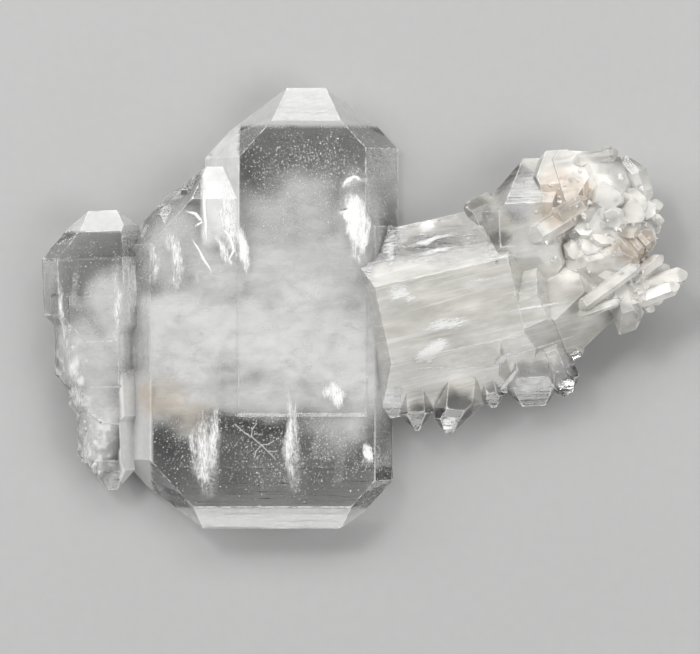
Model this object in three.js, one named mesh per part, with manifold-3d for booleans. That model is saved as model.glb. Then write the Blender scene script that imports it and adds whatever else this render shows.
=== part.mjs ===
// A cluster of clear quartz of the faden habit, lying on the backs of its tabular crystals.
// Broad blades stand side by side in parallel growth, with their c axes across the cluster. To the right of them
// the row goes on as a leaning, milky shaft with small teeth below, a crown of blocky crystals at its upper end
// and a spray of slim ones beside it. All of them have grown through each other, so the cluster is one solid.
//
// Millimetres. +X runs along the row of crystals, +Y along the broad blades' c axis and +Z up, off the surface that
// the cluster lies on. The origin is below the middle of the cluster, on that surface.

import * as THREE from 'three';
import { ConvexGeometry } from 'three/addons/geometries/ConvexGeometry.js';
import { mergeVertices } from 'three/addons/utils/BufferGeometryUtils.js';
import Module from 'manifold-3d';

const { Vector3, Matrix4, Quaternion, MathUtils } = THREE;

const wasm = await Module();
wasm.setup();

// Quartz itself: prism faces stand every 60 degrees round the c axis, and a rhomb face slopes in above each one.
const PRISM_STEP = 60;
const RHOMB_TILT = 51.79; // between the c axis and a rhomb face's normal
const RIDGE_SLOPE = Math.tan(MathUtils.degToRad(RHOMB_TILT)); // how far a rhomb face drops along c, per mm outward
const SHOULDER_SLOPE = RIDGE_SLOPE * Math.cos(MathUtils.degToRad(30)); // the same, along an edge of two rhomb faces

// The row of broad blades, whose backs lie on the surface
const REST_Z = 0;
const WIDE_FRONT_Z = 7.2;
const TALL_FRONT_Z = 7.5;
const SHAFT_FRONT_Z = 9.4;

// How the crystals of a lump are laid out: the turn from one to the next, and how far round below its widest they go
const GOLDEN_TURN = Math.PI * (3 - Math.sqrt(5));
const LUMP_FOOT = -0.35;

const SEAM = 1e-6; // mm, within which corners are one corner

// Faces of a crystal in its own frame, where its c axis is Y and its front faces Z

function face(azimuth, tilt, through) {
  const turn = MathUtils.degToRad(azimuth);
  const down = MathUtils.degToRad(tilt);
  const normal = new Vector3(Math.sin(down) * Math.sin(turn), Math.cos(down), Math.sin(down) * Math.cos(turn));
  return { normal, reach: normal.dot(new Vector3(...through)) };
}

// A tabular crystal. left, right, bottom, top, back and front are its extremes; edgeZ is the depth at which its left
// and right edges lie, ridgeZ that of its bottom and top ridges. A shoulder is the height on an edge at which the
// rhomb faces set in, and blunt the ridges' length as a share of the width where no shoulders are given. lag pushes
// out every second rhomb face, which in quartz are the smaller three.
function bladeFaces(size) {
  const { left, right, bottom, top, back, front, blunt = 0, lag = 0 } = size;
  const middle = (back + front) / 2;
  const [leftZ, rightZ] = size.edgeZ ?? [middle, middle];
  const [bottomZ, topZ] = size.ridgeZ ?? [middle, middle];
  const drop = (SHOULDER_SLOPE * (right - left) * (1 - blunt)) / 2;
  const [bottomLeft, bottomRight] = size.bottomShoulders ?? [bottom + drop, bottom + drop];
  const [topLeft, topRight] = size.topShoulders ?? [top - drop, top - drop];
  const faces = [];
  for (let step = 0; step < 6; step++) {
    const azimuth = step * PRISM_STEP;
    const onRight = azimuth > 0 && azimuth < 180;
    const onLeft = azimuth > 180;
    const x = onRight ? right : onLeft ? left : 0;
    const edge = onRight ? rightZ : leftZ;
    const prismZ = azimuth === 0 ? front : azimuth === 180 ? back : edge;
    faces.push(face(azimuth, 90, [x, 0, prismZ]));
    const topY = onRight ? topRight : onLeft ? topLeft : top;
    const bottomY = onRight ? bottomRight : onLeft ? bottomLeft : bottom;
    const topLag = step % 2 ? lag : 0;
    const bottomLag = step % 2 ? 0 : lag;
    faces.push(face(azimuth, RHOMB_TILT, [x, topY + topLag, onRight || onLeft ? edge : topZ]));
    faces.push(face(azimuth, 180 - RHOMB_TILT, [x, bottomY - bottomLag, onRight || onLeft ? edge : bottomZ]));
  }
  return faces;
}

// The corners that a crystal's faces leave: every meeting of three faces that no other face cuts off
function cornersOf(faces) {
  const corners = [];
  for (let i = 0; i < faces.length; i++)
    for (let j = i + 1; j < faces.length; j++)
      for (let k = j + 1; k < faces.length; k++) {
        const [a, b, c] = [faces[i], faces[j], faces[k]];
        const bc = new Vector3().crossVectors(b.normal, c.normal);
        const spread = a.normal.dot(bc);
        if (Math.abs(spread) < SEAM) continue;
        const ca = new Vector3().crossVectors(c.normal, a.normal);
        const ab = new Vector3().crossVectors(a.normal, b.normal);
        const corner = bc.multiplyScalar(a.reach).addScaledVector(ca, b.reach).addScaledVector(ab, c.reach);
        corner.divideScalar(spread);
        const inside = faces.every((f) => f.normal.dot(corner) <= f.reach + SEAM);
        if (inside && !corners.some((other) => other.distanceTo(corner) < SEAM * 10)) corners.push(corner);
      }
  return corners;
}

function solidOf(geometry) {
  geometry.deleteAttribute('normal');
  geometry.deleteAttribute('uv');
  const merged = mergeVertices(geometry, SEAM);
  const vertProperties = new Float32Array(merged.attributes.position.array);
  const triVerts = new Uint32Array(merged.index.array);
  return new wasm.Manifold(new wasm.Mesh({ numProp: 3, vertProperties, triVerts }));
}

function crystalFrom(faces, place) {
  return solidOf(new ConvexGeometry(cornersOf(faces).map((corner) => corner.applyMatrix4(place))));
}

// A blade whose c axis stays in the plane of the row: lean turns it about at, yaw about its own c axis
function blade({ at = [0, 0], lean = 0, yaw = 0, ...size }) {
  const place = new Matrix4()
    .makeTranslation(at[0], at[1], 0)
    .multiply(new Matrix4().makeRotationZ(MathUtils.degToRad(lean)))
    .multiply(new Matrix4().makeRotationY(MathUtils.degToRad(yaw)));
  return crystalFrom(bladeFaces(size), place);
}

// A crystal given by its tip and the way it points. width is across its edges, depth across its flat faces, roll
// turns it about its c axis from facing up, and blunt is the length of the ridge at its tip as a share of the width.
function point({ tip, toward, width, depth = width * 0.8, length, roll = 0, blunt = 0.25, lag = 0.08 }) {
  const faces = bladeFaces({
    left: -width / 2,
    right: width / 2,
    bottom: -length,
    top: 0,
    back: -depth / 2,
    front: depth / 2,
    blunt,
    lag: lag * width,
  });
  const along = new Vector3(...toward).normalize();
  const side = new Vector3().crossVectors(along, new Vector3(0, 0, 1)).normalize();
  const frame = new Matrix4().makeBasis(side, along, new Vector3().crossVectors(side, along));
  const turn = new Quaternion().setFromRotationMatrix(frame);
  turn.multiply(new Quaternion().setFromAxisAngle(new Vector3(0, 1, 0), MathUtils.degToRad(roll)));
  return crystalFrom(faces, new Matrix4().compose(new Vector3(...tip), turn, new Vector3(1, 1, 1)));
}

// The two broad blades in the middle: the wide one below and, standing a little proud of it, the tall one
function middleBlades() {
  const wide = blade({
    left: -26.7, right: 3.2, bottom: -24.3, top: 15.6, back: REST_Z, front: WIDE_FRONT_Z,
    edgeZ: [1.7, 3.8], ridgeZ: [5.3, 4.4],
    bottomShoulders: [-16.7, -19], topShoulders: [7, 9],
  });
  const tall = blade({
    left: -17.6, right: 3.8, bottom: -14, top: 24.3, back: REST_Z, front: TALL_FRONT_Z,
    edgeZ: [0.9, 1.3], ridgeZ: [5.6, 4.6],
    bottomShoulders: [-12.4, -12.6], topShoulders: [16.6, 17.6],
  });
  return [wide, tall];
}

// Narrow crystals that grew up the broad blades' left side, in parallel with them
function sideCrystals() {
  return [
    blade({ left: -18.4, right: -16.3, bottom: 2, top: 13.6, back: 1.2, front: 5.6, blunt: 0.3, yaw: 2 }),
    blade({ left: -20.8, right: -18, bottom: -1, top: 13.4, back: 1.4, front: 7.4, blunt: 0.1, lean: -3 }),
    blade({ left: -22.9, right: -20.4, bottom: 1, top: 11.4, back: 2, front: 7.4, blunt: 0.2 }),
    blade({ left: -24.9, right: -22.6, bottom: -3, top: 9.2, back: 2, front: 7.35, blunt: 0.1, yaw: -3 }),
  ];
}

// The blades at the left end step down to a pointed foot
function leftBlades() {
  const head = blade({
    at: [-30, 3], lean: 2.3,
    left: -5.5, right: 5.4, bottom: -10.5, top: 7.7, back: 0.7, front: 6.6,
    edgeZ: [3.4, 3.4], ridgeZ: [3.6, 4.8],
    bottomShoulders: [-3.6, -5], topShoulders: [2.6, 6],
  });
  const waist = blade({
    lean: 1.5, left: -34.3, right: -25.4, bottom: -11.8, top: 6, back: 0.4, front: 6.55,
    bottomShoulders: [-6.6, -8], topShoulders: [2, 2],
  });
  const flank = blade({
    lean: 2, left: -33, right: -25.2, bottom: -15.2, top: -2, back: 0.9, front: 6.45,
    bottomShoulders: [-9.6, -11],
  });
  const foot = blade({
    lean: 1, left: -31.9, right: -25.6, bottom: -19.6, top: -4, back: 1.2, front: 6.3,
    bottomShoulders: [-15.9, -17.4],
  });
  return [head, waist, flank, foot];
}

// The shaft: the row goes on to the right in blades that lean further and further back
function shaft() {
  const near = blade({
    at: [7.3, -0.9], lean: 12.5,
    left: -8, right: 12.4, bottom: -10.1, top: 10.4, back: REST_Z, front: SHAFT_FRONT_Z,
    bottomShoulders: [-8.6, -6], topShoulders: [8.6, 5],
  });
  const far = blade({
    at: [20.2, 0.9], lean: 24,
    left: -9, right: 1.6, bottom: -7.3, top: 6.5, back: 0.8, front: 9.37,
    bottomShoulders: [-5.4, -6.6], topShoulders: [4, 4],
  });
  const end = blade({
    at: [26, 0], lean: 44, yaw: -4,
    left: -6, right: 2.6, bottom: -1.95, top: 7, back: 1.6, front: 10.3,
    bottomShoulders: [-1.3, -0.4], topShoulders: [5, 5],
  });
  const web = blade({
    at: [25, 5.4], lean: 12, yaw: 6,
    left: -4, right: 4.4, bottom: -5.4, top: 5, back: 1.8, front: 9.9,
  });
  return [near, far, end, web];
}

// Teeth along the shaft's lower edge, each with its tip down, and one crystal on its upper edge
function teeth() {
  return [
    blade({
      at: [6.3, -13.5], lean: 4, left: -2.3, right: 1.5, bottom: 0, top: 9, back: 3.2, front: 6.6, blunt: 0.1,
    }),
    blade({
      at: [9.3, -13.8], lean: -5, left: -1.7, right: 3.6, bottom: 0, top: 9, back: 2.6, front: 6.8,
      bottomShoulders: [1.5, 3.5],
    }),
    blade({ at: [14.4, -11], lean: 12, left: -1.3, right: 1.3, bottom: 0, top: 6, back: 3.4, front: 6, blunt: 0.2 }),
    blade({
      at: [18.8, -10.8], lean: 3, left: -3.2, right: 3.1, bottom: 0, top: 9, back: 2.2, front: 7.2, blunt: 0.4,
    }),
    blade({ at: [22.2, -9.7], lean: 22, left: -1.5, right: 2.3, bottom: 0, top: 8, back: 3, front: 7.4, blunt: 0.3 }),
    blade({
      at: [11.5, 11.8], lean: 25, left: -0.8, right: 2.7, bottom: -5, top: 0, back: 3.6, front: 6.2,
      topShoulders: [-0.5, -0.4],
    }),
  ];
}

// The crown: blocky crystals at the shaft's upper end, the broad ones first
function crown() {
  return [
    blade({
      at: [18.3, 11.9], lean: 2, left: -5.8, right: 4.6, bottom: -10, top: 4.6, back: 1.5, front: 9.3,
      bottomShoulders: [-6, -7], topShoulders: [-1.14, 2.4],
    }),
    blade({
      at: [21.2, 11.9], lean: 4, left: -3.4, right: 3, bottom: -6, top: 5.5, back: 2.6, front: 8.4,
      topShoulders: [2.6, 4],
    }),
    blade({
      at: [23.4, 11.6], lean: -3, yaw: -8, left: -2.4, right: 3.6, bottom: -6, top: 5.7, back: 1.6, front: 10.4,
      bottomShoulders: [-4, -4], topShoulders: [4.6, 3.6],
    }),
    blade({
      at: [25.8, 10.4], lean: -12, yaw: 6, left: -3.6, right: 2.8, bottom: -6, top: 6.6, back: 2.4, front: 11.3,
      bottomShoulders: [-4, -4], topShoulders: [5, 4],
    }),
    blade({
      at: [27.4, 7.6], lean: -32, yaw: 12, left: -3.6, right: 3, bottom: -6, top: 4.4, back: 2.6, front: 11,
      bottomShoulders: [-4, -4], topShoulders: [2.8, 2.2],
    }),
    blade({
      at: [28.75, 16.9], lean: 15, left: -0.97, right: 1.9, bottom: -6, top: 0, back: 4.9, front: 8.6,
      topShoulders: [-1.07, -2.09],
    }),
    point({ tip: [27.9, 17.1, 7.6], toward: [0.97, 0.22, 0.1], width: 1.8, length: 5 }),
    point({ tip: [18.2, 7.5, 10.1], toward: [-0.84, -0.52, 0.02], width: 2.6, length: 6, roll: 10 }),
    point({ tip: [20.4, 9.4, 10.5], toward: [-0.86, -0.48, 0.1], width: 2.3, length: 5, roll: -12 }),
    point({ tip: [27.2, 12.9, 12.1], toward: [0.3, 0.45, 0.85], width: 3.6, length: 6, blunt: 0.6 }),
    point({ tip: [30.3, 10.9, 11], toward: [0.6, 0.2, 0.75], width: 3.2, length: 6, blunt: 0.6, roll: 12 }),
    point({ tip: [27.9, 9.7, 12.4], toward: [0.35, -0.15, 0.9], width: 2.6, length: 5, blunt: 0.5, roll: 35 }),
    point({ tip: [31.5, 7.4, 7.6], toward: [0.82, -0.55, 0.05], width: 2.5, length: 6, blunt: 0.4 }),
    point({ tip: [32.9, 11.4, 6.2], toward: [0.97, 0.2, 0], width: 1.5, length: 4 }),
    point({ tip: [33, 9.6, 6.8], toward: [0.97, -0.1, 0.1], width: 1.4, length: 4, roll: 20 }),
    point({ tip: [32.6, 8.7, 5.4], toward: [0.9, -0.3, 0], width: 1.3, length: 4 }),
  ];
}

// The spray: slim crystals that fan out from the cluster's right end
function spray() {
  return [
    point({ tip: [35.5, 3.8, 7.6], toward: [0.95, 0.3, 0.05], width: 2, length: 8, roll: 6 }),
    point({ tip: [34.6, 2.5, 8.3], toward: [0.93, 0.34, 0.1], width: 1.9, length: 8, roll: -14 }),
    point({ tip: [33.6, 4.6, 6.2], toward: [0.86, 0.5, 0], width: 1.5, length: 6 }),
    point({ tip: [32.8, 5.7, 8.8], toward: [0.8, 0.58, 0.2], width: 1.6, length: 6, roll: 25 }),
    point({ tip: [32.9, 0.8, 6.4], toward: [0.95, -0.1, 0], width: 1.1, length: 5 }),
    point({ tip: [31.9, -0.3, 7.2], toward: [0.8, -0.55, 0.1], width: 1.3, length: 5, roll: 10 }),
    point({ tip: [23.6, 0, 10.6], toward: [-0.8, -0.58, 0.04], width: 1.5, length: 8, roll: 8 }),
    point({ tip: [23.5, -0.7, 10.2], toward: [-0.9, -0.3, 0.2], width: 1.2, length: 5 }),
    blade({
      at: [28.05, -2.97], lean: 17.8, left: 0, right: 3.33, bottom: 0, top: 8, back: 5.8, front: 9.2,
      bottomShoulders: [0.1, 1.47],
    }),
    blade({
      at: [29.4, 3.2], lean: -50, yaw: 10,
      left: -3.4, right: 2.6, bottom: -4, top: 3, back: 3, front: 10.2, blunt: 0.5,
    }),
    point({ tip: [30.6, 6, 9.6], toward: [0.62, -0.76, 0.1], width: 1, length: 6 }),
    point({ tip: [29.9, 5.2, 10.1], toward: [0.62, -0.76, 0.1], width: 0.9, length: 6, roll: 15 }),
    point({ tip: [31.4, 6.6, 9], toward: [0.66, -0.72, 0], width: 1, length: 5, roll: -10 }),
  ];
}

// Blocky crystals all over the top and sides of a lump, so close together that little more than their tips shows
function lump({ centre, radii, count, width, length, seed }) {
  const random = randomFrom(seed);
  const spread = (amount) => amount * (2 * random() - 1);
  return Array.from({ length: count }, (_, index) => {
    const rise = MathUtils.lerp(1, LUMP_FOOT, (index + 0.5) / count);
    const turn = index * GOLDEN_TURN + spread(0.25);
    const across = Math.sqrt(1 - rise * rise);
    const way = new Vector3(across * Math.cos(turn), across * Math.sin(turn), rise);
    const tip = way.clone().multiply(new Vector3(...radii)).multiplyScalar(1 + spread(0.07)).add(new Vector3(...centre));
    way.add(new Vector3(spread(0.3), spread(0.3), spread(0.3)));
    const wide = width * (1 + spread(0.35));
    return point({
      tip: tip.toArray(), toward: way.toArray(), width: wide, length, roll: spread(30), blunt: 0.4 + spread(0.3),
    });
  });
}

// The same run of numbers from 0 to 1 for the same seed
function randomFrom(seed) {
  let state = seed;
  return () => {
    state = (state * 16807) % 2147483647;
    return state / 2147483647;
  };
}

// Chips knocked out of the ridges and edges of the broad blades, shallow bites of a rounded shape
function chips() {
  const bites = [
    { at: [-6.6, 24.9, 5.4], size: 1.2 },
    { at: [-9.6, 24.4, 6.6], size: 1.1 },
    { at: [-17.9, 16.9, 1.6], size: 0.9 },
    { at: [-22, 12.7, 5.6], size: 0.9 },
    { at: [-2.9, 24.8, 6.4], size: 0.9 },
    { at: [-20.4, -23.5, 5.2], size: 1.4 },
    { at: [-17.4, -24.9, 4.6], size: 1.1 },
    { at: [-1.8, -24.6, 5.6], size: 0.9 },
    { at: [3.2, -19.8, 4.4], size: 0.9 },
    { at: [-34.9, -3.4, 4.4], size: 0.8 },
    { at: [-33.6, -9.9, 3.6], size: 1 },
    { at: [-31.9, -15, 3], size: 1 },
  ];
  return bites.map(({ at, size }, index) => {
    const shape = new THREE.IcosahedronGeometry(size, 1);
    shape.rotateX(index);
    shape.rotateY(index * 2);
    shape.scale(1.3, 0.7, 1);
    return solidOf(shape.translate(...at));
  });
}

const crystals = [
  ...middleBlades(), ...sideCrystals(), ...leftBlades(), ...shaft(), ...teeth(), ...crown(), ...spray(),
  ...lump({ centre: [26.2, 9.5, 5.4], radii: [6, 6.6, 5.6], count: 46, width: 3.3, length: 5, seed: 7 }),
  ...lump({ centre: [29.4, 3.2, 6], radii: [2.5, 2.6, 3.6], count: 20, width: 1.7, length: 3, seed: 3 }),
];
const grown = crystals.reduce((sum, crystal) => sum.add(crystal));
const whole = chips().reduce((rest, chip) => rest.subtract(chip), grown);

const mesh = whole.getMesh();
const geometry = new THREE.BufferGeometry();
geometry.setAttribute('position', new THREE.BufferAttribute(new Float32Array(mesh.vertProperties), 3));
geometry.setIndex(new THREE.BufferAttribute(new Uint32Array(mesh.triVerts), 1));
geometry.computeBoundingBox();
const { min, max } = geometry.boundingBox;
geometry.translate(-(min.x + max.x) / 2, -(min.y + max.y) / 2, -min.z);

const quartz = new THREE.MeshStandardMaterial({ color: 0xe6e5e1, roughness: 0.08, metalness: 0, flatShading: true });
const faceted = geometry.toNonIndexed();
faceted.computeVertexNormals();
const body = new THREE.Mesh(faceted, quartz);
body.name = 'quartz_cluster';
const cluster = new THREE.Group();
cluster.add(body);

export default cluster;
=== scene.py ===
"""The looks of a faden quartz cluster: a clear crystal with milky growth, and what it encloses."""

import math
import random

import bmesh
import bpy
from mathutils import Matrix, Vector, noise
from mathutils.bvhtree import BVHTree
from mathutils.kdtree import KDTree


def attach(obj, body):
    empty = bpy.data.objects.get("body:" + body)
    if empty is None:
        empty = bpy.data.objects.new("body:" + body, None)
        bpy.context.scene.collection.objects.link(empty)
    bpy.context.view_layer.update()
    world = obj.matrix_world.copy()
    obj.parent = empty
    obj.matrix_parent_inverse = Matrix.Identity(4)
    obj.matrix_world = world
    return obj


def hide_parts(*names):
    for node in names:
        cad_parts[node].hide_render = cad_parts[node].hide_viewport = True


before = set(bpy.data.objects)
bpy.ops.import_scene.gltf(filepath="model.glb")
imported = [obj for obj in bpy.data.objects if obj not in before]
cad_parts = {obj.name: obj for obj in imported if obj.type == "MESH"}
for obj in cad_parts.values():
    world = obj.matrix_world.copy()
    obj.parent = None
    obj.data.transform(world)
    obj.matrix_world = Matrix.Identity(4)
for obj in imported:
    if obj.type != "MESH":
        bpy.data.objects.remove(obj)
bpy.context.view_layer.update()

MM = 0.001              # in metres
SEED = 11

# Lengths are in mm in the part's own frame and angles in degrees. The stage's lengths are in metres
QUARTZ_IOR = 1.544
WELD = 0.002            # corners nearer than this are one corner
TOUCH = 1e-4            # places nearer than this lie on each other
FLAT = 0.4              # faces that meet at a smaller angle are one face
CUT_PITCH = 0.5         # the faces are cut this finely, to carry their relief
CUT_SHIFT = 0.013       # keeps the cuts off the crystal's own corners
SMOOTH = 9              # edges with a smaller angle are shaded smooth
RELIEF = 0.014          # depth of the growth lines on the prism faces
PITTED = 0.13           # depth of the pits where the crystal is rough
FACES_UP = -0.3         # a face whose normal rises more than this counts as upper
HIGHLIGHT_EDGE_LENGTH = 0.8       # outward edges that are longer than this
HIGHLIGHT_EDGE_ANGLE = 18         # and sharper than this get a painted highlight, a bright line,
HIGHLIGHT_EDGE_PITCH = 0.1        # which is followed at this pitch
GLASS_BUMP = 0.04       # depth of the fine lines on clear faces
MILK_BUMP = 0.05        # and of those on milky faces

# The photograph: its size, the mm that a pixel covers, and the pixel where the part's frame starts
PHOTO_WIDTH, PHOTO_HEIGHT = 700, 654
MM_PER_PIXEL = 0.11
ORIGIN_X, ORIGIN_Y = 364, 308

# Clouds and flecks lie in wavy sheets on a grid, which starts and stops outside the crystal
GRID_START = (-36, -25)
GRID_SIZE = (72, 50)
GRID_SHIFT = (0.007, 0.003)     # keeps the grid off the crystal's own corners
GRID_PITCH = 0.5
SHEET_SWELL = 0.8               # the sheets rise and sink this far
SHEET_GAP = 0.1                 # they stay this far inside the crystal
SHEET_FADE = (0.08, 0.8)        # and thin out towards its faces between these distances
LEAST_AMOUNT = 0.03             # what is thinner than this is left out

# The soft rims of clouds and of spots, as shares of their half sizes
CLOUD_RIM = (0.45, 1.45)
SPOT_RIM = (0.75, 1.25)

# Milky clouds: a middle, half sizes across and along, and how dense each is
CLOUD_DEPTHS = (1.6, 3.0, 4.3, 5.4, 6.4, 7.7, 8.7)
CLOUDS = [
    ((-10.5, -3.2), (15.5, 5.4), 1.0),
    ((-7.5, 3.4), (8, 5.2), 0.6),
    ((-11.0, -9.3), (6, 2.3), 0.65),
    ((-9.0, 8.4), (7, 6), 0.3),
    ((-20.0, -4.0), (6, 7.5), 0.95),
    ((-20.5, 4.8), (3.4, 6), 0.35),
    ((-1.0, -5.8), (6, 6.5), 0.9),
    ((-3.0, -10.6), (4.5, 4.5), 0.22),
    ((-1.2, 7.5), (2.2, 6), 0.45),
    ((-14.2, 5.0), (1.8, 7), 0.5),
    ((-26.8, -1.2), (3.4, 4.4), 0.65),
    ((-30.2, -5.4), (3.6, 5), 0.45),
    ((-30.0, -14.0), (2.8, 6), 0.7),
    ((-16.2, 3.0), (4.5, 5), 0.6),
    ((14.5, -1.5), (13, 6), 0.85),
    ((25.5, 8.5), (7, 8), 0.9),
]

# Fine flecks, most of them in the clear windows, given the same way
FLECK_SIZES = (0.02, 0.11)
FLECKS_PER_SQUARE_METRE = 14e6
FLECK_DEPTHS = (0.8, 2.4, 4.4, 6.3, 8.3)
FLECKS = [
    ((-6.5, 13.5), (9, 8), 1.4),
    ((-30.0, 4.0), (5, 5), 0.9),
    ((-10, -14.5), (14, 5.5), 1.5),
    ((-21, 6), (4.5, 6), 0.8),
    ((-2.9, -9.2), (1.6, 1.7), 9.0),
    ((0.5, -16.6), (0.6, 0.7), 12.0),
    ((-29.5, -6), (4.5, 7), 0.9),
    ((-12, -2), (16, 8), 0.5),
    ((13, 0.5), (14, 9), 0.3),
]

# Cracks and scales are ribbons with corners at this pitch along them, and this many strips across
RIBBON_PITCH = 0.3
RIBBON_STRIPS = 6

# Healed cracks inside the blades: where each starts and ends, how wide and how dense it is
CRACKS = [
    ((-17.8, -10.0, 4.4), (-17.3, -21.2, 4.0), 2.0, 0.8),
    ((-16.2, -11.5, 5.2), (-16.6, -19.0, 4.6), 0.9, 0.6),
    ((-8.1, -10.2, 4.4), (-7.7, -20.6, 4.0), 1.3, 0.75),
    ((-2.9, -10.8, 4.2), (-2.6, -19.6, 3.8), 1.0, 0.4),
    ((-5.4, -11.0, 3.2), (-5.2, -17.5, 3.2), 0.6, 0.35),
    ((-23.1, 1.6, 4.6), (-22.6, -13.0, 4.0), 1.5, 0.5),
    ((-20.7, 3.0, 5.4), (-20.3, -8.5, 5.0), 1.0, 0.45),
    ((-14.7, 7.2, 5.6), (-13.8, -3.5, 5.0), 1.7, 0.75),
    ((-12.2, 5.2, 5.9), (-12.6, -2.0, 5.0), 0.8, 0.4),
    ((-2.6, 13.3, 6.2), (0.2, 14.3, 6.0), 0.55, 0.9),
    ((-0.3, 13.0, 5.6), (-0.5, 4.6, 5.2), 1.5, 0.95),
    ((-1.9, 11.0, 5.0), (-1.2, 4.0, 4.8), 1.3, 0.85),
    ((0.8, 11.4, 5.2), (0.5, 5.6, 4.6), 1.0, 0.7),
    ((-15.6, 16.2, 3.6), (-14.9, 7.4, 5.0), 1.6, 0.8),
    ((-16.6, 14.6, 2.6), (-15.8, 6.6, 4.2), 1.2, 0.7),
    ((-19.4, 9.0, 5.6), (-18.2, 1.5, 5.4), 1.0, 0.5),
    ((-22.0, 8.4, 4.8), (-21.2, 2.4, 4.8), 1.2, 0.55),
    ((-27.3, 6.2, 4.4), (-26.9, -2.4, 4.2), 0.9, 0.55),
    ((-32.8, 1.8, 4.2), (-28.2, -2.6, 4.2), 0.9, 0.45),
    ((-29.2, -3.2, 4.4), (-28.6, -9.6, 3.8), 1.2, 0.5),
    ((-27.6, -10.5, 3.6), (-28.4, -17.6, 3.2), 1.3, 0.7),
    ((-30.4, -8.0, 3.8), (-29.6, -15.5, 3.4), 1.5, 0.7),
    ((-31.6, 5.0, 4.0), (-32.2, -1.0, 4.0), 0.5, 0.4),
]

# A branched thread of needles in the wide blade, as runs of points
NEEDLE_RADII = (0.08, 0.05)
KNOT_RADII = (0.07, 0.15)
KNOT_SHIFT = 0.04
TWIG = [
    [
        (-14.2, -12.8, 5.2), (-13.2, -13.7, 5.3), (-12.4, -14.2, 5.3),
        (-11.3, -15.1, 5.1), (-9.8, -16.6, 4.9),
    ],
    [(-12.4, -14.2, 5.3), (-12.3, -13.3, 5.5), (-11.8, -12.7, 5.5)],
    [(-11.3, -15.1, 5.1), (-10.5, -15.0, 5.3), (-9.9, -14.6, 5.4)],
    [(-11.3, -15.1, 5.1), (-11.9, -15.8, 5.0), (-12.1, -16.5, 5.0)],
    [(-10.6, -15.8, 5.0), (-9.6, -15.8, 5.2)],
]

# The milk is in the shaft and all that lies right of it. It starts at a place across,
# further left on the faces above a height
SHAFT_START, UPPER_SHAFT_START = 3.4, 0.4
UPPER_SHAFT = 7.4
SHAFT_FADE = 1.4

# Where the milk is creamy, given as a middle and half sizes
CREAM = [((26, 9.4, 7), (8, 8, 12)), ((30.5, 1.8, 7), (6.5, 4.6, 6))]

# Tan stains, given the same way
STAINS = [
    ((21.6, 12.2, 9), (3.4, 3.4, 6)),
    ((29.8, 6.8, 9), (2.4, 2, 5)),
    ((-21.9, -10.0, 4), (2.8, 2.4, 8)),
    ((-18.6, -12.2, 4), (2.6, 2.0, 8)),
]

# Places in the milk that are clear, given the same way
CLEAR = [
    ((6.2, -12.6, 5), (2, 2.2, 8)),
    ((10.4, -12.0, 5), (2.8, 2.6, 8)),
    ((14.5, -10.0, 5), (1.3, 1.8, 8)),
    ((19.0, -8.7, 5), (3.6, 2.8, 8)),
    ((22.8, -8.0, 5), (2.2, 2.8, 8)),
    ((17.2, 12.6, 6), (2.6, 3.6, 8)),
    ((7.4, 7.0, 7), (3.4, 1.2, 6)),
    ((15.0, 7.6, 8), (1.4, 0.9, 5)),
]

# Places in the milk that are clearer than the rest: the ends of small crystals, and one face of the shaft
CLEARER = [
    ((28.9, 14.6, 6.5), (2.3, 2.5, 6)),
    ((28.8, -1.6, 7.5), (2.2, 2.2, 6)),
    ((26.4, 17.1, 7.6), (2, 1.2, 6)),
    ((12.0, 10.6, 5), (2, 1.8, 6)),
    ((8.8, 6.9, 6), (7.6, 2.6, 8)),
]

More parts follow.
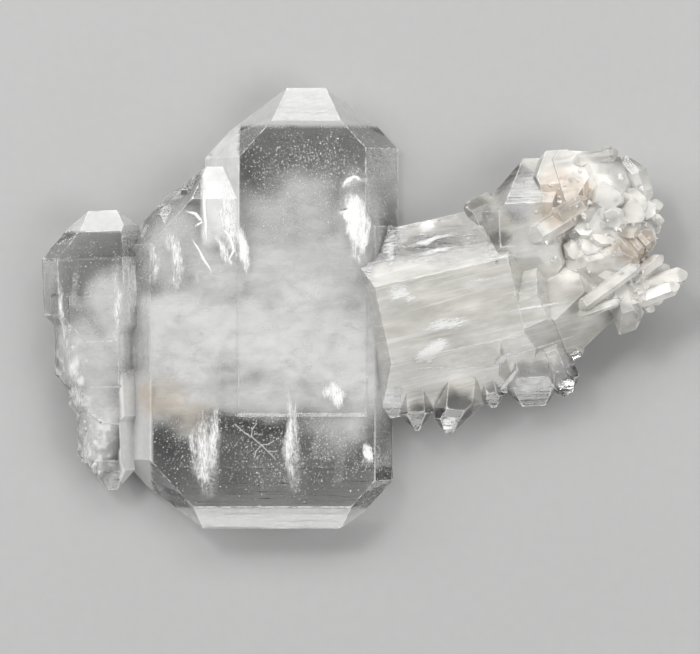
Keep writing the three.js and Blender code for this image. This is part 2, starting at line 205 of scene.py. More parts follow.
# White scales on the faces: a run of places, and how wide and how dense each is
SCALE_LIFT = 0.045      # the lowest runs lie this far over the faces
SCALE_STEP = 0.004      # and each run this much over the last, so that none share a plane,
SCALE_STEPS = 9         # until after this many they start low again
SCALES = [
    ([(-1.7, 12.9), (-0.9, 11.0), (-0.7, 8.5), (-1.0, 5.8)], 2.0, 1.5),
    ([(0.0, 12.2), (0.1, 9.0), (-0.2, 5.2)], 1.1, 1.2),
    ([(-1.9, 7.6), (-0.9, 6.2), (-0.3, 4.4)], 1.1, 0.8),
    ([(-2.5, 13.0), (-1.9, 14.0), (-1.0, 14.4), (0.1, 13.9)], 0.4, 1.4),
    ([(-4.8, -8.8), (-3.3, -9.2), (-1.6, -9.6)], 1.3, 1.2),
    ([(-3.9, -7.8), (-3.1, -9.4), (-2.1, -11.2)], 1.3, 1.2),
    ([(0.3, -14.6), (0.7, -17.3)], 0.8, 1.3),
    ([(-18.1, -10.4), (-17.7, -14.0), (-17.6, -17.5), (-17.2, -21.0)], 1.7, 0.9),
    ([(-16.2, -9.8), (-16.4, -14.0), (-16.9, -19.4)], 0.9, 0.9),
    ([(-18.8, -12.4), (-18.9, -15.0), (-18.6, -18.0)], 0.6, 0.8),
    ([(-8.7, -7.8), (-8.2, -12.0), (-8.1, -16.0), (-7.8, -20.8)], 1.0, 0.9),
    ([(-7.3, -8.4), (-7.5, -13.0), (-7.2, -18.6)], 0.5, 0.7),
    ([(-25.9, 6.6), (-25.6, 1.6), (-25.9, -2.6)], 1.0, 1.0),
    ([(-21.2, 9.2), (-20.9, 7.0), (-20.5, 4.6), (-20.6, 0.8)], 1.5, 0.85),
    ([(-19.8, 10.7), (-18.5, 10.4), (-17.8, 9.5), (-18.7, 8.8)], 0.25, 1.6),
    ([(-19.1, 7.9), (-16.6, 3.7)], 0.22, 1.6),
    ([(-16.0, 9.0), (-14.8, 8.1), (-14.3, 6.3), (-15.3, 4.5)], 0.25, 1.6),
    ([(-17.6, 14.0), (-17.5, 10.0), (-17.2, 6.8)], 0.3, 1.5),
    ([(-23.3, 8.6), (-23.0, 5.0), (-23.2, 1.4)], 1.0, 0.7),
    ([(-18.3, 6.4), (-18.0, 3.0), (-18.4, -1.0)], 0.7, 0.5),
    ([(-17.0, 9.4), (-15.4, 6.4), (-13.8, 3.8)], 0.8, 0.9),
    ([(-15.2, 15.0), (-14.8, 9.6), (-13.9, 4.4)], 1.5, 1.0),
    ([(-14.0, 9.8), (-13.2, 6.4), (-12.8, 3.4)], 0.9, 1.2),
    ([(-33.7, 4.6), (-33.3, -1.5), (-32.3, -5.4)], 0.6, 0.9),
    ([(-27.4, 4.6), (-27.1, 0.6), (-27.3, -4.0)], 0.8, 0.8),
    ([(-32.4, -4.4), (-31.6, -9.4), (-30.9, -12.6)], 1.4, 0.8),
    ([(-31.0, -13.4), (-30.2, -17.4), (-28.9, -19.8)], 1.5, 0.9),
    ([(5.3, -6.1), (7.2, -4.9), (9.6, -3.1)], 1.4, 1.3),
    ([(6.0, -2.2), (9.0, -1.6), (12.2, -1.2)], 1.1, 1.1),
    ([(14.8, -9.4), (15.9, -8.0), (17.2, -6.5)], 0.4, 1.4),
    ([(14.2, -6.4), (16.4, -4.7)], 0.7, 1.2),
    ([(15.4, -0.5), (19.0, 0.2), (23.2, 0.8)], 0.25, 1.2),
    ([(15.4, 0.2), (17.6, 2.6)], 0.6, 0.7),
    ([(2.3, 2.4), (4.0, 1.6), (6.0, 0.2)], 1.6, 1.1),
    ([(3.6, 9.6), (2.9, 6.4), (2.6, 3.4)], 1.1, 0.9),
    ([(4.4, 6.6), (7.0, 7.4), (10.4, 8.4)], 0.5, 1.1),
    ([(4.8, 5.4), (8.0, 6.4), (11.0, 6.9)], 0.5, 1.0),
    ([(3.2, -6.9), (8.0, -6.5), (14.2, -6.7)], 0.25, 0.9),
    ([(14.2, -5.8), (19.0, -4.4), (24.4, -2.7)], 0.25, 0.9),
    ([(10.4, 2.9), (14.0, 3.2), (17.4, 3.9)], 0.35, 0.8),
    ([(12.8, 5.3), (18.2, 6.0)], 0.5, 0.8),
]

# Where the foot and the blade over it are rough and pitted, given as a middle and half sizes
ROUGH = [((-30.6, -14.5, 3), (3, 6.4, 6)), ((-32.5, -7.6, 4), (2.4, 4.6, 6))]

# Frosting and a painted highlight on the blades' end faces, which grow or fade from one place along the
# blades to another
UPPER_ENDS = (19.9, 20.3)
LOWER_ENDS = (-22.2, -21.8)
LEFT_BLADES = -24.5             # the stepped blades lie left of this
LEFT_ENDS = (8.2, 8.6)

# Two frosted stretches beside the wide blade that also paint a highlight, one above and one below: from
# where to where each is across, where it stops, and where its frosting and painted highlight grow or fade
UPPER_HIGHLIGHT_FROST_ACROSS, UPPER_HIGHLIGHT_FROST_STOP, UPPER_HIGHLIGHT_FROST_ALONG = (-17.9, -13.7), 5, (6, 8.5)
LOWER_HIGHLIGHT_FROST_ACROSS, LOWER_HIGHLIGHT_FROST_STOP, LOWER_HIGHLIGHT_FROST_ALONG = (-26.9, -23.4), -6, (-9, -6)

# Where very small crystals stand, given as a middle and half sizes
TIP_SIZES = (0.1, 0.36)
TIPS_PER_SQUARE_METRE = 0.8e6
TIP_GROUND = [
    ((26.2, 9.6, 7), (8, 8, 7)),
    ((29.4, 3.2, 7), (4, 4, 5)),
    ((-30.6, -16, 3), (2.6, 4.6, 5)),
]

# The stage, in metres
FLOOR_DROP = 0.03 * MM          # the floor lies this far under the crystal's back
FLOOR_HALF = 3.0
CAMERA_DISTANCE = 0.8
CAMERA_SENSOR = 36              # mm, as lenses are given
LIT_PLACE = (0, 0, 0.007)
ROOM_GLOW = (0.1, 0.1, 0.102, 1)

# The lamps: where each is, its width and height, and its watts
LAMPS = {
    "far_strip": ((0, 0.55, 0.133), (0.4, 0.06), 0.45),
    "near_strip": ((0, -0.55, 0.133), (0.4, 0.06), 0.38),
    "left_box": ((-0.5, 0.25, 0.5), (0.5, 0.5), 2.8),
    "key_panel": ((-0.26, 0.3, 0.62), (0.14, 0.14), 1.15),
    "right_box": ((0.5, -0.1, 0.55), (0.5, 0.4), 2.5),
    "back_box": ((0.05, 0.5, 0.6), (0.6, 0.3), 2.1),
}


# Values on the part, in plain numbers

def eased(x, low, high):
    """0 at low and 1 at high, smoothly."""
    t = min(max((x - low) / (high - low), 0.0), 1.0)
    return t * t * (3 - 2 * t)


def wander(place, pitch, depth=3, shift=0.0):
    """A random field from about -1 to 1 that changes over the pitch in mm."""
    return noise.fractal(place / pitch + Vector((shift, shift, shift)), 0.9, 2.0, depth)


def patchy(spots, place, ragged):
    """How dense the densest of the spots is at a place, with its rim shifted by ragged."""
    best = 0.0
    for (x, y), (across, along), density in spots:
        reach = math.hypot((place.x - x) / across, (place.y - y) / along) + ragged
        best = max(best, density * (1 - eased(reach, *CLOUD_RIM)))
    return best


def within(spots, place, ragged):
    """1 inside the ellipsoids and 0 outside, with a soft rim that ragged shifts."""
    best = 0.0
    for at, radii in spots:
        reach = math.sqrt(sum(((place[k] - at[k]) / radii[k]) ** 2 for k in range(3)))
        best = max(best, 1 - eased(reach + ragged, *SPOT_RIM))
    return best


def cloud_at(place):
    """How dense the milky clouds are at a place: curdled, with slow and quick changes."""
    slow = wander(Vector((place.x * 0.8, place.y * 1.2, place.z)), 6, 4)
    quick = wander(Vector((place.x * 0.8, place.y * 1.5, place.z)), 1.7)
    return patchy(CLOUDS, place, slow * 0.6 + quick * 0.08) * min(max(1.0 + quick * 0.4, 0.2), 1.2)


def flecks_at(place):
    """How dense the flecks are at a place."""
    return patchy(FLECKS, place, 0) * eased(wander(place, 3, 4, 40), -0.5, 0.4)


def surface_at(place):
    """How milky, frosted and painted with a highlight, creamy and stained a face is at a place, how far in
    the shaft, and how rough.
    """
    ragged = wander(place, 2.2) * 0.25
    creamy = within(CREAM, place, 0)
    rough = within(ROUGH, place, ragged)
    start = UPPER_SHAFT_START if place.z > UPPER_SHAFT else SHAFT_START
    across = Vector((place.x * 0.4, place.y, place.z * 0.4))
    arm = eased(place.x + wander(across, 1.4) * 0.8, start, start + SHAFT_FADE)

    milk = 0.4 * cloud_at(place)
    if arm > 0:
        dense = 0.66 + 0.3 * wander(across, 3, 3, 9) + 0.2 * creamy
        dense -= 0.22 * creamy * eased(wander(place, 1.7, 2, 60), 0.0, 0.3)
        dense *= 1 - max(within(CLEAR, place, ragged), 0.5 * within(CLEARER, place, ragged))
        milk += arm * (min(dense, 0.95) - milk)

    # The frosting here is partly real and partly a painted highlight: the end faces and the two stretches
    # beside the wide blade are painted white where they catch light, while the crust on the rough foot is
    # real
    frost = 0.6 * max(eased(place.y, *UPPER_ENDS), 1 - eased(place.y, *LOWER_ENDS))
    if place.x < LEFT_BLADES:
        crusted = 0.85 * rough * eased(wander(place, 0.9, 3, 5), -0.15, 0.3)
        frost = max(frost, 0.55 * eased(place.y, *LEFT_ENDS), crusted)
    if UPPER_HIGHLIGHT_FROST_ACROSS[0] < place.x < UPPER_HIGHLIGHT_FROST_ACROSS[1] and place.y > UPPER_HIGHLIGHT_FROST_STOP:
        frost = max(frost, eased(place.y + 2 * ragged, *UPPER_HIGHLIGHT_FROST_ALONG) * (0.85 + ragged))
    if LOWER_HIGHLIGHT_FROST_ACROSS[0] < place.x < LOWER_HIGHLIGHT_FROST_ACROSS[1] and place.y < LOWER_HIGHLIGHT_FROST_STOP:
        frost = max(frost, 0.8 * (1 - eased(place.y + 2 * ragged, *LOWER_HIGHLIGHT_FROST_ALONG)))
    return milk, frost, within(CREAM, place, ragged), within(STAINS, place, ragged), arm, rough


# Node trees

class Value:
    """A number socket that takes Python's operators."""

    def __init__(self, tree, socket):
        self.tree, self.socket = tree, socket

    def math(self, operation, *others, clamp=False):
        n = self.tree.nodes.new("ShaderNodeMath")
        n.operation, n.use_clamp = operation, clamp
        for slot, x in zip(n.inputs, (self, *others)):
            join(self.tree, x, slot)
        return Value(self.tree, n.outputs[0])

    def __add__(self, other):
        return self.math("ADD", other)

    def __mul__(self, other):
        return self.math("MULTIPLY", other)

    def __rsub__(self, other):
        return self * -1 + other

    __radd__, __rmul__ = __add__, __mul__

    def above(self, low, high):
        """0 below low and 1 above high, smoothly."""
        n = self.tree.nodes.new("ShaderNodeMapRange")
        n.interpolation_type = "SMOOTHSTEP"
        join(self.tree, self, n.inputs["Value"])
        n.inputs["From Min"].default_value, n.inputs["From Max"].default_value = low, high
        return Value(self.tree, n.outputs["Result"])

    def most(self, other):
        """The larger of the two."""
        return self.math("MAXIMUM", other)

    def held(self):
        """The same value, held between 0 and 1."""
        return self.math("ADD", 0, clamp=True)


def join(tree, x, socket):
    """Gives a socket a value, or links it to another."""
    if isinstance(x, Value):
        x = x.socket
    if isinstance(x, bpy.types.NodeSocket):
        tree.links.new(x, socket)
    else:
        socket.default_value = x


class Nodes:
    """A node tree that starts empty."""

    def __init__(self, tree):
        self.tree = tree
        tree.nodes.clear()

    def node(self, kind, settings=None, inputs=None):
        """A node of a kind, with its settings first and then what its sockets are given."""
        n = self.tree.nodes.new(kind)
        for name, x in (settings or {}).items():
            if name == "stops":
                ramp = n.color_ramp
                while len(ramp.elements) < len(x):
                    ramp.elements.new(0.5)
                for stop, (at, colour) in zip(ramp.elements, x):
                    stop.position, stop.color = at, (*colour, 1)
            else:
                setattr(n, name, x)
        for name, x in (inputs or {}).items():
            join(self.tree, x, n.inputs[name])
        return n


class Shade(Nodes):
    """A material's node tree, with mm coordinates of the part in it."""

    def __init__(self, name):
        self.material = bpy.data.materials.new(name)
        self.material.use_nodes = True
        super().__init__(self.material.node_tree)
        self.out = self.node("ShaderNodeOutputMaterial")
        place = self.node("ShaderNodeTexCoord").outputs["Object"]
        scaled = self.node("ShaderNodeVectorMath", {"operation": "SCALE"}, {0: place, "Scale": 1 / MM})
        self.place = scaled.outputs[0]

    def across(self):
        """How far right a place lies, in mm."""
        return Value(self.tree, self.node("ShaderNodeSeparateXYZ", {}, {0: self.place}).outputs["X"])

    def stretched(self, scale, turn=0):
        """The part's coordinates, turned about Z by turn degrees and then stretched."""
        turned = self.node("ShaderNodeMapping", {"vector_type": "POINT"}, {
            "Vector": self.place, "Rotation": (0, 0, math.radians(-turn)),
        }).outputs[0]
        return self.node("ShaderNodeMapping", {"vector_type": "POINT"}, {
            "Vector": turned, "Scale": scale,
        }).outputs[0]

    def noise(self, scale, where=None, detail=3, roughness=0.5, distortion=0):
        n = self.node("ShaderNodeTexNoise", {}, {
            "Vector": where or self.place, "Scale": scale, "Detail": detail,
            "Roughness": roughness, "Distortion": distortion,
        })
        return Value(self.tree, n.outputs[0])

    def given(self, name):
        """A value that the mesh holds on its corners."""
        return Value(self.tree, self.node("ShaderNodeAttribute", {"attribute_name": name}).outputs["Fac"])

    def mix(self, share, first, second):
        n = self.node("ShaderNodeMix", {"data_type": "RGBA"})
        join(self.tree, share, n.inputs[0])
        for slot, x in ((6, first), (7, second)):
            join(self.tree, (*x, 1) if isinstance(x, tuple) else x, n.inputs[slot])
        return n.outputs[2]

    def ramp(self, value, stops):
        return self.node("ShaderNodeValToRGB", {"stops": stops}, {0: value}).outputs[0]

    def bump(self, height, depth):
        """A normal that is tilted as if the surface rose with height, by depth in mm."""
        return self.node("ShaderNodeBump", {}, {
            "Height": height, "Distance": depth * MM, "Strength": 0.5,
        }).outputs[0]

    def principled(self, **inputs):
        return self.node("ShaderNodeBsdfPrincipled", {}, {
            name.replace("_", " "): x for name, x in inputs.items()
        }).outputs[0]

    def blend(self, share, first, second):
        return self.node("ShaderNodeMixShader", {}, {0: share, 1: first, 2: second}).outputs[0]

    def finish(self, surface):
        join(self.tree, surface, self.out.inputs["Surface"])
        return self.material


def quartz_finish():
    """Clear quartz that is milky in the shaft and the crown, frosted and painted with a highlight where the
    blades end, and painted with a bright highlight line along its edges."""
    s = Shade("quartz")
    grain = s.noise(1.6, detail=4, roughness=0.65)
    # Frosting and painted highlight: the end faces and the bright stretches are made milky white
    frost = s.given("frost") * (0.8 + grain * 0.4)
    in_cloud = s.given("milk") * (1 - s.given("arm")) * 2.2
    # A painted highlight: a bright white line along the long sharp edges, which also makes them milky
    rim = (1 - s.given("off_edge").above(0.03, 0.13)) * s.noise(1.1, detail=4).above(0.34, 0.56)
    rim = rim * (1 - in_cloud).held()
    milk = s.given("milk").most(frost).most(rim * 0.7).held()

    lines = s.noise(1.0, s.stretched((0.12, 2.6, 0.5)), detail=3, roughness=0.6)
    pits = s.given("rough") * s.noise(1.9, detail=5, roughness=0.7) * 4
    clear = s.principled(
        Base_Color=(0.98, 0.98, 0.975, 1), Roughness=0.02, IOR=QUARTZ_IOR, Transmission_Weight=1.0,
        Normal=s.bump(lines + pits, GLASS_BUMP),
    )
    shade = s.node("ShaderNodeBsdfTransparent", {}, {"Color": (0.81, 0.81, 0.81, 1)}).outputs[0]
    shadow_ray = s.node("ShaderNodeLightPath").outputs["Is Shadow Ray"]
    glass = s.blend(shadow_ray, clear, shade)

    wisps = s.noise(0.5, s.stretched((0.35, 1.2, 0.6), 12), detail=4, roughness=0.65)
    arm_lines = s.noise(1.0, s.stretched((0.1, 2.8, 0.5), 14), detail=3, roughness=0.6)
    tone = s.ramp(wisps, [
        (0.32, (0.55, 0.535, 0.48)), (0.5, (0.69, 0.67, 0.61)), (0.68, (0.84, 0.825, 0.78)),
    ])
    tone = s.mix(arm_lines.above(0.55, 0.64) * 0.5, tone, (0.93, 0.92, 0.9))
    tone = s.mix(s.given("arm"), (0.8, 0.8, 0.79), tone)
    tone = s.mix(s.given("cream") * 0.95, tone, (1.0, 0.975, 0.92))
    tone = s.mix(s.given("stain") * 0.8, tone, (0.64, 0.53, 0.42))
    # The painted edge highlight makes the colour near white
    tone = s.mix(rim * 0.8, tone, (0.97, 0.97, 0.96))
    milky = s.principled(
        Base_Color=tone, Roughness=grain * 0.14 + 0.02, IOR=QUARTZ_IOR, Transmission_Weight=0.08,
        Normal=s.bump(arm_lines + grain * 0.6 + pits, MILK_BUMP),
    )
    return s.finish(s.blend(milk, glass, milky))


def tip_finish():
    """Small crystals: bright creamy quartz that lets some light through."""
    s = Shade("small_quartz")
    tone = s.mix(s.noise(0.6), (0.9, 0.87, 0.83), (0.93, 0.92, 0.9))
    return s.finish(s.principled(
        Base_Color=tone, Roughness=s.noise(1.5) * 0.2 + 0.05, IOR=QUARTZ_IOR, Transmission_Weight=0.15,
    ))


def cloud_finish():
    """Milk in the crystal: a white haze that thins out into wisps."""
    s = Shade("milk_haze")
    curls = s.noise(0.8, s.stretched((0.6, 1.0, 0.7)), detail=4, roughness=0.7, distortion=0.6)
    threads = s.noise(1.0, s.stretched((0.25, 2.6, 1.0), 4), detail=3, roughness=0.7)
    body = 0.6 + curls.above(0.25, 0.65) * 0.5 + threads.above(0.5, 0.7) * 0.15
    return s.finish(s.principled(
        Base_Color=s.mix(s.given("stain") * 0.35, (0.97, 0.97, 0.96), (0.78, 0.71, 0.56)), Roughness=0.6,
        Alpha=(s.given("amount") * body).held(),
    ))


def crack_finish():
    """A healed crack: glossy scales with clear gaps between them."""
    s = Shade("healed_crack")
    scales = s.noise(2.6, detail=5, roughness=0.75)
    return s.finish(s.principled(
        Base_Color=(0.94, 0.94, 0.93, 1), Roughness=s.noise(3.0) * 0.4 + 0.15,
        Alpha=(s.given("amount") * (0.3 + scales.above(0.42, 0.58))).held(),
    ))


def scale_finish():
    """White scales: torn into streaks along the blades or along the shaft."""
    s = Shade("white_scale")
    blades = s.noise(1.0, s.stretched((5.0, 1.1, 1.0)), detail=5, roughness=0.75)
    shaft = s.noise(1.0, s.stretched((1.0, 4.0, 1.0), 14), detail=5, roughness=0.75)
    on_shaft = s.across().above(1.4, 2.4)
    streaks = blades * (1 - on_shaft) + shaft * on_shaft
    return s.finish(s.principled(
        Base_Color=s.mix(s.noise(2.0), (0.88, 0.88, 0.87), (0.97, 0.97, 0.96)),
        Roughness=s.noise(3.0) * 0.4 + 0.1,
        Alpha=(s.given("amount") * 0.5 + streaks).above(0.68, 1.06) * (0.95 - on_shaft * 0.2),
    ))


def fleck_finish(name, colour):
    """Small white bodies in the crystal, of about one colour."""
    s = Shade(name)
    return s.finish(s.principled(
        Base_Color=s.mix(s.noise(0.7), colour, (0.97, 0.97, 0.96)), Roughness=s.noise(2.0) * 0.3 + 0.1,
    ))


def floor_finish():
    """Plain pale card."""
    s = Shade("floor_card")
    grain = s.noise(0.8, detail=4)
    return s.finish(s.principled(
        Base_Color=s.mix(grain, (0.46, 0.46, 0.46), (0.49, 0.49, 0.485)), Roughness=0.85,
    ))


# Pieces

def as_piece(name, mesh, material):
    """An object at the origin that goes with the cluster's body."""
    mesh.materials.clear()
    mesh.materials.append(material)
    mesh.name = name
    for face in mesh.polygons:
        face.material_index = 0
    piece = bpy.data.objects.new(name, mesh)
    bpy.context.scene.collection.objects.link(piece)
    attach(piece, "root")
    print(name, "faces", len(mesh.polygons))
    return piece


def merged_copy(node):
    """The solid as a bmesh in mm, with its loose triangles joined and its flat faces whole."""
    bm = bmesh.new()
    bm.from_mesh(node.data)
    bmesh.ops.scale(bm, vec=Vector((1 / MM,) * 3), verts=bm.verts)
    bmesh.ops.remove_doubles(bm, verts=bm.verts, dist=WELD)
    bmesh.ops.dissolve_limit(
        bm, angle_limit=math.radians(FLAT), use_dissolve_boundaries=False, verts=bm.verts, edges=bm.edges,
    )
    bmesh.ops.recalc_face_normals(bm, faces=bm.faces)
    bmesh.ops.triangulate(bm, faces=bm.faces)
    return bm


def cut_finely(bm):
    """Cuts every face along a grid of planes, so that it carries relief and keeps its sharp edges."""
    low = [min(v.co[k] for v in bm.verts) for k in range(3)]
    high = [max(v.co[k] for v in bm.verts) for k in range(3)]
    for axis in range(3):
        along = Vector([float(k == axis) for k in range(3)])
        steps = int((high[axis] - low[axis]) / CUT_PITCH)
        for step in range(1, steps + 1):
            whole = list(bm.verts) + list(bm.edges) + list(bm.faces)
            at = along * (low[axis] + step * CUT_PITCH + CUT_SHIFT)
            bmesh.ops.bisect_plane(bm, geom=whole, plane_co=at, plane_no=along, dist=TOUCH)


def raise_relief(bm):
    """Growth lines across the prism faces, slow swells on every face, and pits where it is rough."""
    bm.normal_update()
    for v in bm.verts:
        line = noise.noise(Vector((v.co.x * 0.15, v.co.y * 1.7, v.co.z * 0.6)))
        swell = noise.noise(v.co * 0.22)
        lift = RELIEF * (0.6 * line + swell)
        if v.normal.z > FACES_UP and v.co.z > 0.6:
            pits = 0.5 + noise.noise(v.co * 0.9) + 0.5 * noise.noise(v.co * 2.1)
            lift -= PITTED * within(ROUGH, v.co, 0) * pits
        v.co += v.normal * lift


def highlight_edges(bm):
    """Finds how near an edge with a painted highlight line is, from places all along those edges."""
    places = []
    for edge in bm.edges:
        first, last = (v.co for v in edge.verts)
        length = (last - first).length
        if length > HIGHLIGHT_EDGE_LENGTH and edge.calc_face_angle_signed(0) > math.radians(HIGHLIGHT_EDGE_ANGLE):
            steps = int(length / HIGHLIGHT_EDGE_PITCH)
            places += [first.lerp(last, i / steps) for i in range(steps + 1)]
    tree = KDTree(len(places))
    for i, place in enumerate(places):
        tree.insert(place, i)
    tree.balance()
    return tree


def crystal_piece(bm):
    """The whole crystal, in place of the solid."""
    # Where the painted highlight lines along the edges run
    highlight_lines = highlight_edges(bm)
    cut_finely(bm)
    for edge in bm.edges:
        edge.smooth = len(edge.link_faces) == 2 and edge.calc_face_angle(0) < math.radians(SMOOTH)
    for face in bm.faces:
        face.smooth = True
    raise_relief(bm)
    bmesh.ops.triangulate(bm, faces=bm.faces)
    found = [(*surface_at(v.co), highlight_lines.find(v.co)[2]) for v in bm.verts]
    bmesh.ops.scale(bm, vec=Vector((MM,) * 3), verts=bm.verts)
    mesh = bpy.data.meshes.new("clear_crystal")
    bm.to_mesh(mesh)
    for name, values in zip(("milk", "frost", "cream", "stain", "arm", "rough", "off_edge"), zip(*found)):
        hold(mesh, name, values)
    piece = as_piece("clear_crystal", mesh, quartz_finish())
    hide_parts("quartz_cluster")
    return piece


def spans_above(tree, x, y):
    """The stretches of height in which the upright line at x, y runs inside the solid."""
    start, hits = Vector((x, y, -1.0)), []
    while True:
        spot = tree.ray_cast(start, Vector((0, 0, 1)))[0]
        if spot is None:
            return list(zip(hits[::2], hits[1::2]))
        hits.append(spot.z)
        start = spot + Vector((0, 0, TOUCH))


def sheets_inside(tree, depths, amount_at):
    """Wavy sheets that fill the solid at some depths, with the amount on each corner."""
    points, amounts, faces = [], [], []
    index = {}
    for i in range(int(GRID_SIZE[0] / GRID_PITCH)):
        for j in range(int(GRID_SIZE[1] / GRID_PITCH)):
            x = GRID_START[0] + i * GRID_PITCH + GRID_SHIFT[0]
            y = GRID_START[1] + j * GRID_PITCH + GRID_SHIFT[1]
            spans = spans_above(tree, x, y)
            for layer, depth in enumerate(depths):
                place = Vector((x, y, depth + SHEET_SWELL * noise.noise(Vector((x, y, depth)) * 0.2)))
                if not any(low + SHEET_GAP < place.z < high - SHEET_GAP for low, high in spans):
                    continue
                gap = tree.find_nearest(place)[3]
                index[layer, i, j] = len(points)
                points.append(place * MM)
                amounts.append(amount_at(place) * eased(gap, *SHEET_FADE))
    for layer, i, j in index:
        around = ((i, j), (i + 1, j), (i + 1, j + 1), (i, j + 1))
        corners = [index.get((layer, *at)) for at in around]
        if None not in corners and max(amounts[c] for c in corners) > LEAST_AMOUNT:
            faces.append(corners)
    return mesh_with_amounts(points, faces, amounts)


def hold(mesh, name, values):
    """Stores a value for each of the mesh's corners under a name."""
    mesh.attributes.new(name, "FLOAT", "POINT").data.foreach_set("value", values)


def mesh_with_amounts(points, faces, amounts):
    """A mesh that holds how dense it is at each corner."""
    mesh = bpy.data.meshes.new("sheet")
    mesh.from_pydata(points, [], faces)
    hold(mesh, "amount", amounts)
    mesh.polygons.foreach_set("use_smooth", [True] * len(mesh.polygons))
    return mesh


def ribbons(runs, laid):
    """Makes each run a wandering, ragged ribbon that tapers to its ends. laid puts its corners in place."""
    points, amounts, faces = [], [], []
    for number, (run, width, density) in enumerate(runs):
        run = [Vector(at) for at in run]
        length = sum((b - a).length for a, b in zip(run, run[1:]))
        steps = max(6, int(length / RIBBON_PITCH))
        base = len(points)
        shown = []
        for i in range(steps + 1):
            t = i / steps
            part = min(int(t * (len(run) - 1)), len(run) - 2)
            middle = run[part].lerp(run[part + 1], t * (len(run) - 1) - part)
            side = (run[part + 1] - run[part]).to_3d().cross(Vector((0, 0, 1))).normalized()
            drift = noise.noise(Vector((number * 5.0, t * 4, 0.3)))
            reach = 1.7 * width * (0.6 + 0.4 * math.sin(math.pi * t)) * (1 + 0.35 * drift)
            for j in range(RIBBON_STRIPS + 1):
                u = j / RIBBON_STRIPS - 0.5
                place = laid(middle.to_3d() + side * (u * reach + 0.4 * width * drift), u, number)
                shown.append(place is not None)
                points.append((place or middle.to_3d()) * MM)
                amounts.append(density * math.sin(math.pi * t) ** 0.6 * (1 - (2 * u) ** 2))
        for i in range(steps):
            for j in range(RIBBON_STRIPS):
                a = i * (RIBBON_STRIPS + 1) + j
                b = a + RIBBON_STRIPS + 1
                corners = (a, a + 1, b + 1, b)
                if all(shown[c] for c in corners):
                    faces.append([base + c for c in corners])
    return mesh_with_amounts(points, faces, amounts)


def cracks_mesh():
    """Healed cracks inside the crystal, which wander in depth."""
    def laid(place, u, number):
        place.z += 0.7 * noise.noise(place * 0.5) + u * 0.8 * math.sin(number * 2.3)
        return place

    return ribbons([((start, end), width, density) for start, end, width, density in CRACKS], laid)


def scales_mesh(tree):
    """White scales that lie on the faces as seen from above."""
    def laid(place, u, number):
        spot = tree.ray_cast(Vector((place.x, place.y, 30)), Vector((0, 0, -1)))[0]
        return spot and spot + Vector((0, 0, SCALE_LIFT + SCALE_STEP * (number % SCALE_STEPS)))

    return ribbons(SCALES, laid)


def twig_mesh():
    """Thin tubes along the twig's runs, with a knot where each starts."""
    bm = bmesh.new()
    rand = random.Random(SEED)
    for run in TWIG:
        for start, end in zip(run, run[1:]):
            start, end = Vector(start), Vector(end)
            length = (end - start).length
            turn = (end - start).to_track_quat("Z", "Y")
            needle = bmesh.ops.create_cone(
                bm, cap_ends=True, segments=5, radius1=NEEDLE_RADII[0], radius2=NEEDLE_RADII[1],
                depth=length * 1.1,
            )["verts"]
            for v in needle:
                v.co = turn @ v.co + (start + end) / 2
            radius = rand.uniform(*KNOT_RADII)
            knot = bmesh.ops.create_icosphere(bm, subdivisions=1, radius=radius)["verts"]
            for v in knot:
                across, along = (rand.uniform(-KNOT_SHIFT, KNOT_SHIFT) for _ in range(2))
                v.co += start + Vector((across, along, 0))
    bmesh.ops.scale(bm, vec=Vector((MM,) * 3), verts=bm.verts)
    mesh = bpy.data.meshes.new("twig")
    bm.to_mesh(mesh)
    bm.free()
    return mesh


def grower(name, shape_kind, settings, inputs, on_normal):
    """A tree that strews one small shape over a mesh, as densely as its amount says."""
    tree = bpy.data.node_groups.new(name, "GeometryNodeTree")
    inlets = {
        "Geometry": "Geometry", "Density": "Float", "Small": "Float", "Large": "Float", "Seed": "Int",
        "Material": "Material",
    }
    for label, kind in inlets.items():
        tree.interface.new_socket(label, in_out="INPUT", socket_type="NodeSocket" + kind)
    tree.interface.new_socket("Geometry", in_out="OUTPUT", socket_type="NodeSocketGeometry")

    g = Nodes(tree)
    given = g.node("NodeGroupInput").outputs
    amount = g.node("GeometryNodeInputNamedAttribute", {"data_type": "FLOAT"}, {"Name": "amount"})
    spread = g.node("GeometryNodeDistributePointsOnFaces", {}, {
        "Mesh": given["Geometry"], "Seed": given["Seed"],
        "Density": Value(tree, given["Density"]) * Value(tree, amount.outputs["Attribute"]),
    })
    shape = g.node(shape_kind, settings, inputs).outputs["Mesh"]
    size = g.node("FunctionNodeRandomValue", {"data_type": "FLOAT"}, {
        2: given["Small"], 3: given["Large"],
    }).outputs[1]
    swing = 0.5 if on_normal else math.pi
    turn = g.node("FunctionNodeRandomValue", {"data_type": "FLOAT_VECTOR"}, {
        0: (-swing, -swing, -math.pi), 1: (swing, swing, math.pi),
    }).outputs[0]
    placed = g.node("GeometryNodeInstanceOnPoints", {}, {
        "Points": spread.outputs["Points"], "Instance": shape, "Scale": size,
    })
    if on_normal:
        join(tree, spread.outputs["Rotation"], placed.inputs["Rotation"])
    turned = g.node("GeometryNodeRotateInstances", {}, {"Instances": placed.outputs[0], "Rotation": turn})
    real = g.node("GeometryNodeRealizeInstances", {}, {0: turned.outputs[0]})
    dressed = g.node("GeometryNodeSetMaterial", {}, {
        "Geometry": real.outputs[0], "Material": given["Material"],
    })
    g.node("NodeGroupOutput", {}, {0: dressed.outputs[0]})
    return tree


def strewn(mesh, tree, **given):
    """The mesh that a grower makes from this one."""
    source = bpy.data.objects.new("source", mesh)
    bpy.context.scene.collection.objects.link(source)
    modifier = source.modifiers.new("grow", "NODES")
    modifier.node_group = tree
    for item in tree.interface.items_tree:
        if item.item_type == "SOCKET" and item.in_out == "INPUT" and item.name in given:
            modifier[item.identifier] = given[item.name]
    bpy.context.view_layer.update()
    ready = source.evaluated_get(bpy.context.evaluated_depsgraph_get())
    grown = bpy.data.meshes.new_from_object(ready)
    source.modifiers.clear()
    bpy.data.objects.remove(source)
    return grown


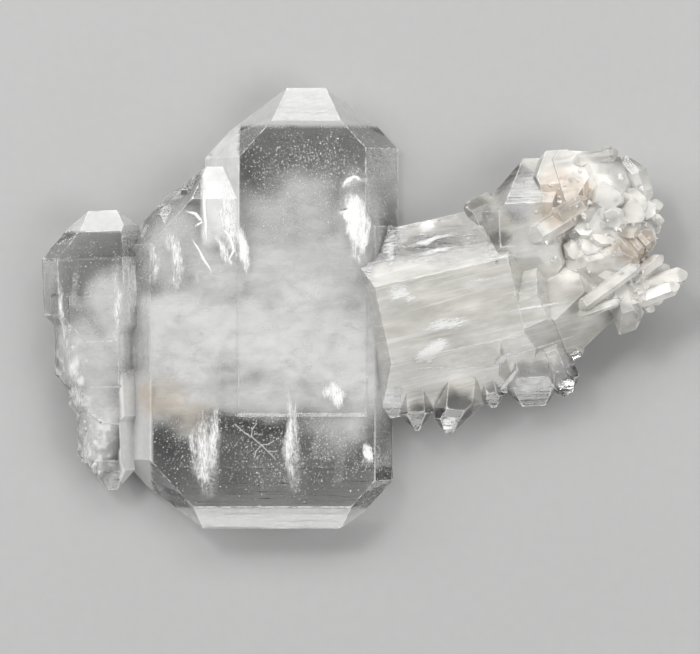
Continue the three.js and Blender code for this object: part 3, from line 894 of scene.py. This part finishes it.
def faces_near(mesh, spots):
    """The upper faces of a mesh that lie in some ellipsoids, as a mesh of their own."""
    points, amounts, faces = [], [], []
    for face in mesh.polygons:
        middle = face.center / MM
        amount = max(
            1 - eased(Vector([(middle[k] - at[k]) / radii[k] for k in range(3)]).length, 0.8, 1.1)
            for at, radii in spots
        )
        amount *= eased(wander(middle, 2, 2), 0.0, 0.3)
        if amount > 0.02 and face.normal.z > FACES_UP and middle.z > 2:
            faces.append(range(len(points), len(points) + len(face.vertices)))
            points += [mesh.vertices[v].co.copy() for v in face.vertices]
            amounts += [amount] * len(face.vertices)
    return mesh_with_amounts(points, [tuple(f) for f in faces], amounts)


def enclosed_pieces(tree):
    """What lies inside the crystal, and the white scales on its faces."""
    clouds = sheets_inside(tree, CLOUD_DEPTHS, cloud_at)
    places = [v.co / MM for v in clouds.vertices]
    hold(clouds, "stain", [within(STAINS, place, 0.2 * wander(place, 2)) for place in places])
    as_piece("milky_clouds", clouds, cloud_finish())
    as_piece("healed_cracks", cracks_mesh(), crack_finish())
    as_piece("white_scales", scales_mesh(tree), scale_finish())
    as_piece("needle_twig", twig_mesh(), fleck_finish("needles", (0.9, 0.88, 0.84)))
    material = fleck_finish("flecks", (0.88, 0.88, 0.87))
    flake = grower(
        "flakes", "GeometryNodeMeshCircle", {"fill_type": "NGON"}, {"Vertices": 5, "Radius": 1.0}, False,
    )
    small, large = (size * MM for size in FLECK_SIZES)
    flecks = strewn(
        sheets_inside(tree, FLECK_DEPTHS, flecks_at), flake,
        Density=FLECKS_PER_SQUARE_METRE, Small=small, Large=large, Seed=SEED, Material=material,
    )
    as_piece("flecks", flecks, material)


def small_crystals(crystal):
    """Tiny crystals that stand on the crown, at the root of the spray and on the foot."""
    tip = grower(
        "tips", "GeometryNodeMeshCone", {"fill_type": "NGON"},
        {"Vertices": 6, "Radius Top": 0.0, "Radius Bottom": 1.0, "Depth": 1.9}, True,
    )
    material = tip_finish()
    small, large = (size * MM for size in TIP_SIZES)
    tips = strewn(
        faces_near(crystal.data, TIP_GROUND), tip,
        Density=TIPS_PER_SQUARE_METRE, Small=small, Large=large, Seed=SEED + 1, Material=material,
    )
    as_piece("small_crystals", tips, material)


# The stage

def area_light(name, at, size, watts):
    """A plain white panel that faces the crystal and can't be seen itself."""
    lamp = bpy.data.lights.new(name, "AREA")
    lamp.shape, lamp.size, lamp.size_y = "RECTANGLE", *size
    lamp.energy = watts
    ob = bpy.data.objects.new(name, lamp)
    ob.location = at
    ob.rotation_euler = (Vector(LIT_PLACE) - Vector(at)).to_track_quat("-Z", "Y").to_euler()
    ob.visible_camera = False
    bpy.context.scene.collection.objects.link(ob)


def stage():
    """A pale floor, the lamps and a dim room."""
    mesh = bpy.data.meshes.new("floor")
    around = ((-1, -1), (1, -1), (1, 1), (-1, 1))
    corners = [(x * FLOOR_HALF, y * FLOOR_HALF, -FLOOR_DROP) for x, y in around]
    mesh.from_pydata(corners, [], [(0, 1, 2, 3)])
    mesh.materials.append(floor_finish())
    ground = bpy.data.objects.new("floor", mesh)
    bpy.context.scene.collection.objects.link(ground)

    for name, (at, size, watts) in LAMPS.items():
        area_light(name, at, size, watts)

    world = bpy.data.worlds.new("room")
    world.use_nodes = True
    world.node_tree.nodes["Background"].inputs[0].default_value = ROOM_GLOW
    bpy.context.scene.world = world


def camera():
    """Looks straight down, as the photograph does, with its framing and from far enough to look flat."""
    pixel = MM_PER_PIXEL * MM
    lens = bpy.data.cameras.new("camera")
    lens.sensor_width = CAMERA_SENSOR
    lens.lens = CAMERA_SENSOR * CAMERA_DISTANCE / (PHOTO_WIDTH * pixel)
    lens.clip_start, lens.clip_end = 0.01, 20
    ob = bpy.data.objects.new("camera", lens)
    ob.location = (
        (PHOTO_WIDTH / 2 - ORIGIN_X) * pixel, (ORIGIN_Y - PHOTO_HEIGHT / 2) * pixel,
        LIT_PLACE[2] + CAMERA_DISTANCE,
    )
    bpy.context.scene.collection.objects.link(ob)
    bpy.context.scene.camera = ob


solid = merged_copy(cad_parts["quartz_cluster"])
inside = BVHTree.FromBMesh(solid)
small_crystals(crystal_piece(solid))
solid.free()
enclosed_pieces(inside)
stage()
camera()

scene = bpy.context.scene
scene.view_settings.view_transform = "Standard"
scene.cycles.max_bounces = 8
scene.cycles.diffuse_bounces = 3
scene.cycles.glossy_bounces = 4
scene.cycles.transmission_bounces = 8
scene.cycles.transparent_max_bounces = 16
scene.cycles.caustics_reflective = False
scene.cycles.caustics_refractive = False
